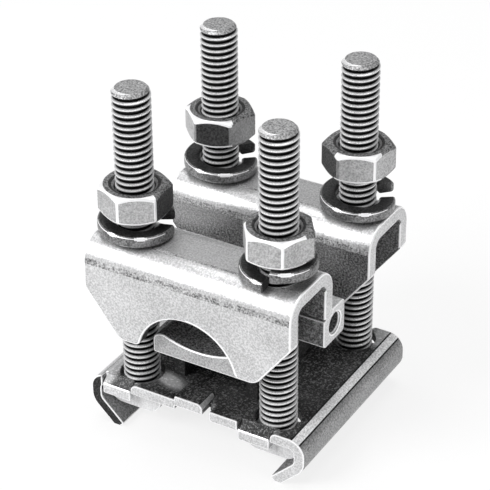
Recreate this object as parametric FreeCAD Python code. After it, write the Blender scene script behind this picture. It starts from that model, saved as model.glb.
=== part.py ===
import math
import os

import FreeCAD
import Part
from FreeCAD import Vector

os.makedirs("parts", exist_ok=True)

# Whole part, stud layout and thread
overall_height = 100.0
stud_pitch_x = 42.0
stud_pitch_y = 42.0
thread_diameter = 10.0
bolt_tip_chamfer = 0.8
bolt_head_width = 16.4
bolt_head_depth = 8.5
bolt_head_height = 6.4
bolt_head_toe_round = 4.2
bolt_head_shoulder = 1.2

# Base: plate with an inward hook along each side
sheet_base = 3.0
base_depth = 57.0
base_half_width = 32.6
hook_wall_foot = 6.4
hook_lip_reach = 6.6
hook_lip_land = 1.0
hook_bend_outer = 4.5
plate_top = 15.0
stud_hole_diameter = 12.0

# Pressed and sheared details along the front and back edges of the plate
lug_drop = 2.6
lug_depth = 3.1
lug_root = 0.8
lug_left = (-29.0, -20.4)
lug_right = (13.0, 22.3)
tongue_span = (-6.3, 2.2)
tongue_rise = 1.2
tongue_depth = 7.0
tongue_end_round = 1.6
notch_span = (2.2, 4.4)
notch_depth = 4.2
slit_width = 0.5
shoulder_round = 2.0

# Saddles; the back one sits a little lower than the front one and stands on two tapered
# walls, while the inner wall of the front one is short and carries the ears
sheet_saddle = 4.0
saddle_length = 61.0
saddle_width = 22.0
saddle_top_front = 58.5
saddle_top_back = 56.3
saddle_bend_outer = 6.5
outer_wall_height = 27.0
inner_wall_height = 15.0
outer_wall_side = 13.7
foot_outer = 20.4
foot_inner = 16.6
arch_radius = 14.6
arch_centre_drop = 29.6
foot_round = 2.0
saddle_hole_diameter = 11.0
arch_bevel = 0.9

# Bored ears at the foot of the short inner wall
ear_length = 13.6
ear_inner_proud = 0.5
ear_outer = 17.5
ear_height = 9.8
ear_rebate = 1.5
ear_bore_diameter = 5.6
ear_bore_offset = 12.4
ear_edge = 1.0

# Seat for the conductor
seat_half_width = 13.3
seat_half_length = 26.8
seat_top = 18.3
seat_shoulder = 10.0
seat_underside = 12.2
seat_trough_radius = 26.0
seat_leg_inner = 9.5
seat_leg_half_length = 18.0
seat_corner = 2.4

# Fasteners
nut_across_flats = 17.0
nut_height = 8.0
nut_bore_clearance = 0.06
nut_chamfer_deg = 30.0
nut_face_share = 0.96
nut_corner_reach = 3.0
spring_outer = 20.0
spring_inner = 11.4
spring_thickness = 3.0
spring_rise = 3.4
spring_turn_deg = 348.0
spring_segments = 28
rest_gap = 0.02
nut_lift_back_left = 4.6
nut_lift_back_right = 5.4

# How far a cutting block runs past what it cuts
cut_margin = 2.0

half_x = stud_pitch_x / 2
half_y = stud_pitch_y / 2
corners = {
    "front_left": (-half_x, -half_y),
    "front_right": (half_x, -half_y),
    "back_left": (-half_x, half_y),
    "back_right": (half_x, half_y),
}
spring_gap_deg = {
    "front_left": 25.0,
    "front_right": -80.0,
    "back_left": 45.0,
    "back_right": 40.0,
}
nut_lift = {
    "front_left": 0.0,
    "front_right": 0.0,
    "back_left": nut_lift_back_left,
    "back_right": nut_lift_back_right,
}
nut_turn_deg = {
    "front_left": 35.0,
    "front_right": 5.0,
    "back_left": 17.0,
    "back_right": 23.0,
}
saddle_top = {"front": saddle_top_front, "back": saddle_top_back}
plate_underside = plate_top - sheet_base
bolt_length = overall_height - plate_underside


def save(shape, name):
    shape.exportStep("parts/" + name + ".step")


def block(x0, x1, y0, y1, z0, z1):
    return Part.makeBox(x1 - x0, y1 - y0, z1 - z0, Vector(x0, y0, z0))


def rounded_line(points, radii):
    """Wire through the points, each inner corner rounded by its radius."""
    edges = []
    start = points[0]
    for index in range(1, len(points) - 1):
        corner = points[index]
        back = (points[index - 1] - corner).normalize()
        ahead = (points[index + 1] - corner).normalize()
        half_angle = back.getAngle(ahead) / 2
        reach = radii[index - 1] / math.tan(half_angle)
        entry = corner + back * reach
        leave = corner + ahead * reach
        bisector = (back + ahead).normalize()
        centre = corner + bisector * (radii[index - 1] / math.sin(half_angle))
        middle = centre - bisector * radii[index - 1]
        edges.append(Part.makeLine(start, entry))
        edges.append(Part.Arc(entry, middle, leave).toShape())
        start = leave
    edges.append(Part.makeLine(start, points[-1]))
    return Part.Wire(edges)


def folded_sheet(points, radii, thickness, sweep):
    """Sheet of even thickness laid inside an outer line and drawn along sweep."""
    outer = rounded_line(points, radii)
    inner_points = inset_points(points, thickness)
    inner = rounded_line(inner_points, [max(r - thickness, 0.4) for r in radii])
    ends = [
        Part.makeLine(points[0], inner_points[0]),
        Part.makeLine(points[-1], inner_points[-1]),
    ]
    outline = Part.Wire(Part.__sortEdges__(outer.Edges + inner.Edges + ends))
    return Part.Face(outline).extrude(sweep)


def inset_points(points, distance):
    """Corner points of the line that runs beside the given one, on its right."""
    normal_of_plane = None
    for index in range(1, len(points) - 1):
        turn = (points[index] - points[index - 1]).cross(points[index + 1] - points[index])
        if turn.Length > 1e-6:
            normal_of_plane = turn.normalize()
            break
    sides = []
    for index in range(len(points) - 1):
        along = (points[index + 1] - points[index]).normalize()
        sides.append(normal_of_plane.cross(along))
    result = [points[0] + sides[0] * distance]
    for index in range(1, len(points) - 1):
        joint = sides[index - 1] + sides[index]
        scale = distance / (joint.Length / 2)
        result.append(points[index] + joint.normalize() * scale)
    result.append(points[-1] + sides[-1] * distance)
    return result


def edge_details(plate, side):
    """Shears and presses one long edge of the plate; side is -1 front, +1 back."""
    def span(x_range, y_from_edge, y_to_edge, z0, z1):
        y_a = side * (base_depth / 2 - y_from_edge)
        y_b = side * (base_depth / 2 - y_to_edge)
        return block(x_range[0], x_range[1], min(y_a, y_b), max(y_a, y_b), z0, z1)

    through = (plate_underside - cut_margin, plate_top + cut_margin)
    for lug in (lug_left, lug_right):
        slot = (lug[0] - slit_width / 2, lug[1] + slit_width / 2)
        plate = plate.cut(span(slot, -cut_margin, lug_depth - lug_root, *through))
        # The plate's corner beside the lug is drawn down in a round shoulder
        corner = (slot[1] - cut_margin, slot[1] + shoulder_round)
        shoulder = span(
            corner, -cut_margin, lug_depth - lug_root,
            plate_top - shoulder_round, plate_top + cut_margin,
        )
        box = shoulder.BoundBox
        roll = Part.makeCylinder(
            shoulder_round, box.YLength,
            Vector(corner[1], box.YMin, plate_top - shoulder_round), Vector(0, 1, 0),
        )
        plate = plate.cut(shoulder.cut(roll))
        body = span(lug, 0, lug_depth, plate_underside - lug_drop, plate_top - lug_drop)
        plate = plate.fuse(body)
    plate = plate.cut(span(tongue_span, -cut_margin, tongue_depth, *through))
    tongue = span(
        tongue_span, 0, tongue_depth, plate_underside + tongue_rise, plate_top + tongue_rise
    )
    end_edges = []
    for edge in tongue.Edges:
        box = edge.BoundBox
        at_end = abs(box.XMin - tongue_span[1]) < 1e-3 and abs(box.XMax - tongue_span[1]) < 1e-3
        at_top = abs(box.ZMin - plate_top - tongue_rise) < 1e-3
        if at_end and at_top:
            end_edges.append(edge)
    tongue = tongue.makeFillet(tongue_end_round, end_edges)
    plate = plate.fuse(tongue)
    plate = plate.cut(span(notch_span, -cut_margin, notch_depth, *through))
    return plate


def make_base():
    # Each lip runs on below the standing plane and is cut off there to a flat land
    lip_in = hook_lip_reach * (1 + hook_lip_land / hook_wall_foot)
    y0 = -base_depth / 2
    line = [
        Vector(-base_half_width + lip_in, y0, -hook_lip_land),
        Vector(-base_half_width, y0, hook_wall_foot),
        Vector(-base_half_width, y0, plate_top),
        Vector(base_half_width, y0, plate_top),
        Vector(base_half_width, y0, hook_wall_foot),
        Vector(base_half_width - lip_in, y0, -hook_lip_land),
    ]
    radii = [hook_bend_outer] * 4
    plate = folded_sheet(line, radii, sheet_base, Vector(0, base_depth, 0))
    plate = plate.cut(block(
        -base_half_width, base_half_width,
        -base_depth, base_depth, -cut_margin - hook_lip_land, 0,
    ))
    plate = edge_details(plate, -1)
    plate = edge_details(plate, 1)
    for x, y in corners.values():
        hole = Part.makeCylinder(
            stud_hole_diameter / 2, sheet_base + 2 * cut_margin,
            Vector(x, y, plate_underside - cut_margin),
        )
        plate = plate.cut(hole)
    return plate.removeSplitter()


def make_bolt(x, y):
    head = block(
        -bolt_head_width / 2, bolt_head_width / 2,
        -bolt_head_depth / 2, bolt_head_depth / 2,
        -bolt_head_height, 0,
    )
    toes = []
    for edge in head.Edges:
        box = edge.BoundBox
        if abs(box.YLength - bolt_head_depth) < 1e-3 and box.ZMax < -bolt_head_height / 2:
            toes.append(edge)
    # Round toes clear the hook lips, bevelled shoulders clear the bends
    head = head.makeFillet(bolt_head_toe_round, toes)
    shoulders = []
    for edge in head.Edges:
        box = edge.BoundBox
        if abs(box.YLength - bolt_head_depth) < 1e-3 and abs(box.ZMin) < 1e-3:
            shoulders.append(edge)
    head = head.makeChamfer(bolt_head_shoulder, shoulders)
    radius = thread_diameter / 2
    straight = bolt_length - bolt_tip_chamfer
    shank = Part.makeCylinder(radius, straight + cut_margin, Vector(0, 0, -cut_margin))
    tip = Part.makeCone(radius, radius - bolt_tip_chamfer, bolt_tip_chamfer, Vector(0, 0, straight))
    shank = shank.fuse(tip)
    bolt = head.fuse(shank)
    bolt.translate(Vector(x, y, plate_underside))
    return bolt.removeSplitter()


def make_seat():
    top = seat_top
    floor = top - (seat_trough_radius - math.sqrt(seat_trough_radius ** 2 - seat_shoulder ** 2))
    y0 = -seat_half_length
    points = {
        "left_low": Vector(-seat_half_width, y0, seat_underside),
        "left_high": Vector(-seat_half_width, y0, top - seat_corner),
        "left_in": Vector(-seat_half_width + seat_corner, y0, top),
        "left_lip": Vector(-seat_shoulder, y0, top),
        "bottom": Vector(0, y0, floor),
        "right_lip": Vector(seat_shoulder, y0, top),
        "right_in": Vector(seat_half_width - seat_corner, y0, top),
        "right_high": Vector(seat_half_width, y0, top - seat_corner),
        "right_low": Vector(seat_half_width, y0, seat_underside),
    }
    bulge = seat_corner * (1 - math.sqrt(0.5))
    left_mid = Vector(-seat_half_width + bulge, y0, top - bulge)
    right_mid = Vector(seat_half_width - bulge, y0, top - bulge)
    edges = [
        Part.makeLine(points["left_low"], points["left_high"]),
        Part.Arc(points["left_high"], left_mid, points["left_in"]).toShape(),
        Part.makeLine(points["left_in"], points["left_lip"]),
        Part.Arc(points["left_lip"], points["bottom"], points["right_lip"]).toShape(),
        Part.makeLine(points["right_lip"], points["right_in"]),
        Part.Arc(points["right_in"], right_mid, points["right_high"]).toShape(),
        Part.makeLine(points["right_high"], points["right_low"]),
        Part.makeLine(points["right_low"], points["left_low"]),
    ]
    bed = Part.Face(Part.Wire(edges)).extrude(Vector(0, 2 * seat_half_length, 0))
    for side in (-1, 1):
        x_a = side * seat_leg_inner
        x_b = side * seat_half_width
        leg = block(
            min(x_a, x_b), max(x_a, x_b),
            -seat_leg_half_length, seat_leg_half_length, 0, seat_underside,
        )
        bed = bed.fuse(leg)
    bed.translate(Vector(0, 0, plate_top))
    return bed.removeSplitter()


def saddle_channel(inner_height):
    """Folded channel about the stud row, outer wall towards -Y, top face at z 0."""
    half = saddle_width / 2
    x0 = -saddle_length / 2
    line = [
        Vector(x0, -half, -outer_wall_height),
        Vector(x0, -half, 0),
        Vector(x0, half, 0),
        Vector(x0, half, -inner_height),
    ]
    radii = [saddle_bend_outer, saddle_bend_outer]
    return folded_sheet(line, radii, sheet_saddle, Vector(saddle_length, 0, 0))


def footed_wall_cutters():
    """Everything below the foot line of a footed wall: side tapers and the arch."""
    half_length = saddle_length / 2
    y0 = -saddle_width / 2 - cut_margin
    depth = sheet_saddle + 1.5 * cut_margin
    foot = -outer_wall_height
    deep = foot - cut_margin
    arch_drop = arch_centre_drop - outer_wall_height
    arch_half = math.sqrt(arch_radius ** 2 - arch_drop ** 2)
    taper = []
    for side in (-1, 1):
        corner = [
            Vector(side * half_length, y0, -outer_wall_side),
            Vector(side * foot_outer, y0, foot),
            Vector(side * foot_outer, y0, deep),
            Vector(side * (half_length + cut_margin), y0, deep),
            Vector(side * (half_length + cut_margin), y0, -outer_wall_side),
        ]
        face = Part.Face(Part.makePolygon(corner + [corner[0]]))
        taper.append(face.extrude(Vector(0, depth, 0)))
    arch_line = [
        Part.Arc(
            Vector(-arch_half, y0, foot),
            Vector(0, y0, -arch_centre_drop + arch_radius),
            Vector(arch_half, y0, foot),
        ).toShape(),
        Part.makeLine(Vector(arch_half, y0, foot), Vector(foot_inner, y0, deep)),
        Part.makeLine(Vector(foot_inner, y0, deep), Vector(-foot_inner, y0, deep)),
        Part.makeLine(Vector(-foot_inner, y0, deep), Vector(-arch_half, y0, foot)),
    ]
    arch = Part.Face(Part.Wire(arch_line)).extrude(Vector(0, depth, 0))
    return taper + [arch]


def finish_footed_wall(channel, side):
    """Rounded feet and a bevel along the arch of the wall on the -Y or +Y side."""
    face_y = side * saddle_width / 2
    foot_edges = []
    for edge in channel.Edges:
        box = edge.BoundBox
        across = abs(box.YLength - sheet_saddle) < 1e-3 and box.Center.y * side > 0
        if across and abs(box.ZMin + outer_wall_height) < 1e-3 and box.ZLength < 1e-3:
            foot_edges.append(edge)
    channel = channel.makeFillet(foot_round, foot_edges)
    bevel_edges = []
    for edge in channel.Edges:
        box = edge.BoundBox
        on_face = abs(box.Center.y - face_y) < 1e-3 and box.YLength < 1e-3
        low = box.ZMax < -arch_centre_drop + arch_radius + 1e-3
        if on_face and low and abs(box.Center.x) < foot_inner + 2:
            bevel_edges.append(edge)
    return channel.makeChamfer(arch_bevel, bevel_edges)


def make_saddle(row):
    """The front saddle has one footed wall, the back one has two."""
    footed_sides = (-1,) if row == "front" else (-1, 1)
    inner_height = inner_wall_height if row == "front" else outer_wall_height
    channel = saddle_channel(inner_height)
    for side in footed_sides:
        for cutter in footed_wall_cutters():
            if side > 0:
                cutter = cutter.mirror(Vector(0, 0, 0), Vector(0, 1, 0))
            channel = channel.cut(cutter)
    for side in (-1, 1):
        hole = Part.makeCylinder(
            saddle_hole_diameter / 2, sheet_saddle + 2 * cut_margin,
            Vector(side * half_x, 0, -sheet_saddle - cut_margin),
        )
        channel = channel.cut(hole)
    for side in footed_sides:
        channel = finish_footed_wall(channel, side)
    return channel.removeSplitter()


def make_ear(side):
    """Bored block welded under one end of the short wall; side is -1 or +1 along X."""
    inner = saddle_width / 2 - sheet_saddle - ear_inner_proud
    x_end = side * saddle_length / 2
    x_in = side * (saddle_length / 2 - ear_length)
    top = -inner_wall_height + ear_rebate
    low = top - ear_height
    body = block(min(x_end, x_in), max(x_end, x_in), inner, ear_outer, low, top)
    long_edges = []
    for edge in body.Edges:
        box = edge.BoundBox
        along = abs(box.XLength - ear_length) < 1e-3
        if along and not (abs(box.ZMin - top) < 1e-3 and abs(box.YMin - inner) < 1e-3):
            long_edges.append(edge)
    body = body.makeFillet(ear_edge, long_edges)
    rebate = block(
        min(x_end, x_in) - cut_margin, max(x_end, x_in) + cut_margin,
        inner - cut_margin, saddle_width / 2 + rest_gap,
        top - ear_rebate - rest_gap, top + cut_margin,
    )
    body = body.cut(rebate)
    bore = Part.makeCylinder(
        ear_bore_diameter / 2, saddle_length + 2 * cut_margin,
        Vector(-saddle_length / 2 - cut_margin, ear_bore_offset, low + ear_height / 2),
        Vector(1, 0, 0),
    )
    return body.cut(bore)


def placed_saddle_piece(shape, row):
    """Sets a saddle piece over its stud row; the back one is turned half round."""
    copy = shape.copy()
    if row == "back":
        copy.rotate(Vector(0, 0, 0), Vector(0, 0, 1), 180)
        copy.translate(Vector(0, half_y, saddle_top[row]))
    else:
        copy.translate(Vector(0, -half_y, saddle_top[row]))
    return copy


def make_nut(x, y, z, turn_deg):
    corner_radius = nut_across_flats / 2 / math.cos(math.radians(30))
    ring = []
    for index in range(7):
        angle = math.radians(60 * index + turn_deg)
        ring.append(Vector(corner_radius * math.cos(angle), corner_radius * math.sin(angle), 0))
    nut = Part.Face(Part.makePolygon(ring)).extrude(Vector(0, 0, nut_height))
    # The upper corners are turned off in a shallow cone
    face_radius = nut_across_flats / 2 * nut_face_share
    wide = face_radius + nut_corner_reach
    cone_height = nut_corner_reach * math.tan(math.radians(nut_chamfer_deg))
    barrel = Part.makeCylinder(wide, nut_height - cone_height)
    crown = Part.makeCone(wide, face_radius, cone_height, Vector(0, 0, nut_height - cone_height))
    nut = nut.common(barrel.fuse(crown))
    bore_radius = thread_diameter / 2 + nut_bore_clearance
    nut = nut.cut(Part.makeCylinder(
        bore_radius, nut_height + 2 * cut_margin, Vector(0, 0, -cut_margin)
    ))
    nut.translate(Vector(x, y, z))
    return nut.removeSplitter()


def make_spring(x, y, z, gap_deg):
    """Split ring of flat segments, one left-hand turn that sinks as it goes round."""
    rows = []
    for index in range(spring_segments + 1):
        share = index / spring_segments
        opening = (360 - spring_turn_deg) / 2
        angle = math.radians(gap_deg + opening + spring_turn_deg * share)
        low = spring_rise * (1 - share)
        corner_row = []
        for radius, height in (
            (spring_inner / 2, low),
            (spring_outer / 2, low),
            (spring_outer / 2, low + spring_thickness),
            (spring_inner / 2, low + spring_thickness),
        ):
            corner_row.append(Vector(
                x + radius * math.cos(angle), y + radius * math.sin(angle), z + height
            ))
        rows.append(corner_row)
    faces = []
    for here, there in zip(rows[:-1], rows[1:]):
        for index in range(4):
            after = (index + 1) % 4
            for trio in (
                (here[index], there[index], there[after]),
                (here[index], there[after], here[after]),
            ):
                faces.append(Part.Face(Part.makePolygon(list(trio) + [trio[0]])))
    for end in (rows[0], rows[-1]):
        faces.append(Part.Face(Part.makePolygon(end + [end[0]])))
    ring = Part.Solid(Part.makeShell(faces))
    if ring.Volume < 0:
        ring.reverse()
    return ring


save(make_base(), "base_plate")
save(make_seat(), "conductor_seat")
for row in ("front", "back"):
    save(placed_saddle_piece(make_saddle(row), row), row + "_saddle")
for end, side in (("left", -1), ("right", 1)):
    save(placed_saddle_piece(make_ear(side), "front"), "front_ear_" + end)
for name, (x, y) in corners.items():
    save(make_bolt(x, y), "bolt_" + name)
    seat_z = saddle_top[name.split("_")[0]]
    save(make_spring(x, y, seat_z, spring_gap_deg[name]), "spring_washer_" + name)
    nut_z = seat_z + spring_thickness + spring_rise + rest_gap + nut_lift[name]
    save(make_nut(x, y, nut_z, nut_turn_deg[name]), "nut_" + name)
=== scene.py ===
import math

import bmesh
import bpy
from mathutils import Matrix, Vector


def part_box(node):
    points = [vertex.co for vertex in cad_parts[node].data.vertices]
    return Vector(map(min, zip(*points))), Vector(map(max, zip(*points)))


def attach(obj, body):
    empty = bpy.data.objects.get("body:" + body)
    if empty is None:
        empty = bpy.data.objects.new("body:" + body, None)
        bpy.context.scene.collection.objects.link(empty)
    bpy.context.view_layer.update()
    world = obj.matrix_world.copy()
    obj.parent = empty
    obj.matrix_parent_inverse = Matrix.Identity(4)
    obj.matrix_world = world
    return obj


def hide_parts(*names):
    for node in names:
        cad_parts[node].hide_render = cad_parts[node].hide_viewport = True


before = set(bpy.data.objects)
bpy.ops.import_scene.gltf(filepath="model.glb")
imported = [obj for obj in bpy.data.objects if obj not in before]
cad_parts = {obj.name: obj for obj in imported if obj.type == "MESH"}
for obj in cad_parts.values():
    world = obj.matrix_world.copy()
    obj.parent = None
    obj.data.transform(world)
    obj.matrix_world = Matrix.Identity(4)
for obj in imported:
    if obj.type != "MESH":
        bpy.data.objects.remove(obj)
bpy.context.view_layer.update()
mm = 0.001
close = 0.1  # how near an edge or face has to lie to be picked, in mm
over = 2  # how far a cutting tool stands past what it cuts, in mm
partly, mostly, straight = 0.3, 0.9, 0.99  # shares of a normal along an axis
studAt = 21
corners = {
    "front_left": (-studAt, -studAt),
    "front_right": (studAt, -studAt),
    "back_left": (-studAt, studAt),
    "back_right": (studAt, studAt),
}
print("frame loaded:", len(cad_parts), "nodes")


def only(obj):
    bpy.ops.object.select_all(action="DESELECT")
    obj.select_set(True)
    bpy.context.view_layer.objects.active = obj


def settle(obj):
    # the place, turn and size go into the mesh
    only(obj)
    bpy.ops.object.transform_apply(location=True, rotation=True, scale=True)
    return obj


def cube(low, high, name="tool"):
    bpy.ops.object.select_all(action="DESELECT")
    middle = [(a + b) / 2 * mm for a, b in zip(low, high)]
    size = [(b - a) * mm for a, b in zip(low, high)]
    bpy.ops.mesh.primitive_cube_add(size=1, location=middle, scale=size)
    obj = bpy.context.object
    obj.name = name
    return settle(obj)


def rod(radius, low, high, at=(0, 0), axis="Z", sides=64, name="tool"):
    # a round bar from low to high along its axis, at the other two coordinates
    bpy.ops.object.select_all(action="DESELECT")
    middle = (low + high) / 2
    place, turn = {
        "X": ((middle, at[0], at[1]), (0, math.radians(90), 0)),
        "Y": ((at[0], middle, at[1]), (math.radians(90), 0, 0)),
        "Z": ((at[0], at[1], middle), (0, 0, 0)),
    }[axis]
    bpy.ops.mesh.primitive_cylinder_add(
        vertices=sides, radius=radius * mm, depth=(high - low) * mm,
        location=[c * mm for c in place], rotation=turn,
    )
    obj = bpy.context.object
    obj.name = name
    return settle(obj)


def edit(obj, mode):
    only(obj)
    bpy.ops.object.mode_set(mode="EDIT")
    bpy.ops.mesh.select_mode(type=mode)
    bpy.ops.mesh.select_all(action="DESELECT")
    return bmesh.from_edit_mesh(obj.data)


def pickFaces(obj, wanted):
    mesh = edit(obj, "FACE")
    for face in mesh.faces:
        if wanted(face.calc_center_median() / mm, face.normal):
            face.select_set(True)
    bmesh.update_edit_mesh(obj.data)


def pickEdges(obj, wanted):
    mesh = edit(obj, "EDGE")
    for edge in mesh.edges:
        if wanted(edge.verts[0].co / mm, edge.verts[1].co / mm):
            edge.select_set(True)
    bmesh.update_edit_mesh(obj.data)


def doneEditing():
    bpy.ops.object.mode_set(mode="OBJECT")


def pull(x, y, z):
    bpy.ops.mesh.extrude_region_move(
        TRANSFORM_OT_translate={"value": (x * mm, y * mm, z * mm)}
    )


def spread(x, y, z, about):
    bpy.ops.transform.resize(value=(x, y, z), center_override=[c * mm for c in about])


def selectAll(obj, mode):
    edit(obj, mode)
    bpy.ops.mesh.select_all(action="SELECT")


def roundOff(width, segments):
    # bevels the picked edges and leaves edit mode
    bpy.ops.mesh.bevel(offset=width * mm, segments=segments, affect="EDGES")
    doneEditing()


def faceUp(obj):
    # an open sheet's faces all point the same way, and its top points up
    selectAll(obj, "FACE")
    bpy.ops.mesh.normals_make_consistent(inside=False)
    doneEditing()
    if max(obj.data.polygons, key=lambda f: f.center.z).normal.z < 0:
        selectAll(obj, "FACE")
        bpy.ops.mesh.flip_normals()
        doneEditing()


def finishWith(obj, kind, **settings):
    only(obj)
    modifier = obj.modifiers.new(kind.title(), kind)
    for key, value in settings.items():
        setattr(modifier, key, value)
    bpy.ops.object.modifier_apply(modifier=modifier.name)
    return obj


def combine(obj, operation, tools):
    for tool in tools:
        finishWith(obj, "BOOLEAN", operation=operation, object=tool, solver="EXACT")
        bpy.data.objects.remove(tool)
    return obj


def cut(obj, *tools):
    return combine(obj, "DIFFERENCE", tools)


def weld(obj, *extras):
    return combine(obj, "UNION", extras)


def keepInside(obj, envelope):
    return combine(obj, "INTERSECT", (envelope,))


def thicken(obj, sheet):
    # the underside takes the next finish in the list, the rim the one after
    return finishWith(
        obj, "SOLIDIFY", thickness=sheet * mm, offset=-1, use_even_offset=True,
        material_offset=1, material_offset_rim=2,
    )


def tidyMesh(obj, reach=0.02):
    selectAll(obj, "VERT")
    bpy.ops.mesh.remove_doubles(threshold=reach * mm)
    bpy.ops.mesh.dissolve_limited(angle_limit=math.radians(0.5))
    bpy.ops.mesh.normals_make_consistent(inside=False)
    doneEditing()
    return obj


def smooth(obj, angle):
    only(obj)
    bpy.ops.object.shade_smooth_by_angle(angle=math.radians(angle))


def breakEdges(obj, width, angle=35, segments=2):
    # small bevels that carry the painted edge highlight
    finishWith(
        obj, "BEVEL", width=width * mm, segments=segments, limit_method="ANGLE",
        angle_limit=math.radians(angle), use_clamp_overlap=False,
        material=obj.data.materials.find("edgeHighlight"),
        miter_outer="MITER_ARC", harden_normals=False,
    )
    smooth(obj, 42)
    finishWith(obj, "WEIGHTED_NORMAL", keep_sharp=True, weight=80)
    return obj


def twin(obj, name, turn=0, move=(0, 0, 0), about=(0, 0)):
    # a copy with its own mesh, turned about a vertical line and then moved
    copy = obj.copy()
    copy.data = obj.data.copy()
    copy.name = name
    copy.data.name = name
    bpy.context.scene.collection.objects.link(copy)
    centre = Matrix.Translation(Vector((about[0], about[1], 0)) * mm)
    copy.matrix_world = (
        Matrix.Translation(Vector(move) * mm) @ centre
        @ Matrix.Rotation(math.radians(turn), 4, "Z") @ centre.inverted()
    )
    return settle(copy)


def hand(piece, node, body):
    piece.name = node + "_piece"
    piece.data.name = piece.name
    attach(piece, body)
    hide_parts(node)


def newGroup(name, inputs, outputs):
    group = bpy.data.node_groups.new(name, "ShaderNodeTree")
    for label, kind, value in inputs:
        socket = group.interface.new_socket(label, in_out="INPUT", socket_type=kind)
        socket.default_value = value
    for label, kind in outputs:
        group.interface.new_socket(label, in_out="OUTPUT", socket_type=kind)
    return group


def node(tree, kind, at, **settings):
    made = tree.nodes.new(kind)
    made.location = at
    for key, value in settings.items():
        setattr(made, key, value)
    return made


def platedSteelGroup():
    # cloudy zinc: a broad tone, small crystals and fine specks
    group = newGroup(
        "platedSteel",
        [
            ("Light", "NodeSocketColor", (0.8, 0.8, 0.8, 1)),
            ("Dark", "NodeSocketColor", (0.6, 0.6, 0.6, 1)),
            ("Cloud Scale", "NodeSocketFloat", 90.0),
            ("Grain Scale", "NodeSocketFloat", 1900.0),
            ("Grain", "NodeSocketFloat", 0.3),
            ("Speck Low", "NodeSocketFloat", 0.38),
            ("Speck High", "NodeSocketFloat", 0.62),
            ("Rough Low", "NodeSocketFloat", 0.25),
            ("Rough High", "NodeSocketFloat", 0.45),
        ],
        [
            ("Color", "NodeSocketColor"),
            ("Roughness", "NodeSocketFloat"),
            ("Height", "NodeSocketFloat"),
        ],
    )
    into = node(group, "NodeGroupInput", (-900, 0))
    out = node(group, "NodeGroupOutput", (700, 0))
    place = node(group, "ShaderNodeTexCoord", (-900, -350))
    cloud = node(group, "ShaderNodeTexNoise", (-600, 150))
    cloud.inputs["Detail"].default_value = 4
    grain = node(group, "ShaderNodeTexNoise", (-600, -150))
    grain.inputs["Detail"].default_value = 3
    grain.inputs["Roughness"].default_value = 0.7
    link = group.links.new
    link(place.outputs["Object"], cloud.inputs["Vector"])
    link(place.outputs["Object"], grain.inputs["Vector"])
    link(into.outputs["Cloud Scale"], cloud.inputs["Scale"])
    link(into.outputs["Grain Scale"], grain.inputs["Scale"])
    soft = node(group, "ShaderNodeMapRange", (-380, 150))
    soft.inputs["From Min"].default_value = 0.35
    soft.inputs["From Max"].default_value = 0.65
    link(cloud.outputs["Fac"], soft.inputs["Value"])
    speck = node(group, "ShaderNodeMapRange", (-380, -150))
    link(into.outputs["Speck Low"], speck.inputs["From Min"])
    link(into.outputs["Speck High"], speck.inputs["From Max"])
    link(grain.outputs["Fac"], speck.inputs["Value"])
    blend = node(group, "ShaderNodeMix", (-150, 50), data_type="FLOAT")
    link(into.outputs["Grain"], blend.inputs[0])
    link(soft.outputs["Result"], blend.inputs[2])
    link(speck.outputs["Result"], blend.inputs[3])
    tone = node(group, "ShaderNodeMix", (80, 150), data_type="RGBA")
    link(blend.outputs[0], tone.inputs[0])
    link(into.outputs["Dark"], tone.inputs[6])
    link(into.outputs["Light"], tone.inputs[7])
    link(tone.outputs[2], out.inputs["Color"])
    rough = node(group, "ShaderNodeMapRange", (80, -100))
    link(blend.outputs[0], rough.inputs["Value"])
    link(into.outputs["Rough High"], rough.inputs["To Min"])
    link(into.outputs["Rough Low"], rough.inputs["To Max"])
    link(rough.outputs["Result"], out.inputs["Roughness"])
    link(speck.outputs["Result"], out.inputs["Height"])
    return group


platedSteel = platedSteelGroup()


def mixColour(tree, at, share, first, second, blend="MIX"):
    # inputs 0, 6 and 7 of a colour mix are its factor and its two colours
    mix = node(tree, "ShaderNodeMix", at, data_type="RGBA", blend_type=blend)
    for index, value in ((0, share), (6, first), (7, second)):
        if isinstance(value, bpy.types.NodeSocket):
            tree.links.new(value, mix.inputs[index])
        else:
            mix.inputs[index].default_value = value
    return mix.outputs[2]


def softStep(tree, at, value, low, high):
    step = node(tree, "ShaderNodeMapRange", at, interpolation_type="SMOOTHSTEP")
    step.inputs["From Min"].default_value = low
    step.inputs["From Max"].default_value = high
    tree.links.new(value, step.inputs["Value"])
    return step.outputs["Result"]


# soft edges as shares of a patch's size, and of the thread's depth for the painted shade in its
# roots
patchLook = dict(edge=(1.25, 0.75), speckle=0.55)
rootShadeEdge = (0.15, 0.62)


def patch(tree, row, place, centre, reach, turn):
    # 1 inside an oval area of the object, 0 outside it, with a soft edge
    up = 400 + 250 * row
    moved = node(tree, "ShaderNodeMapping", (-1200, up), vector_type="TEXTURE")
    moved.inputs["Location"].default_value = [c * mm for c in centre]
    moved.inputs["Scale"].default_value = [c * mm for c in reach]
    moved.inputs["Rotation"].default_value = (0, 0, math.radians(turn))
    far = node(tree, "ShaderNodeVectorMath", (-1000, up), operation="LENGTH")
    tree.links.new(place.outputs["Object"], moved.inputs["Vector"])
    tree.links.new(moved.outputs["Vector"], far.inputs[0])
    return softStep(tree, (-850, up), far.outputs["Value"], *patchLook["edge"])


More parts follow.
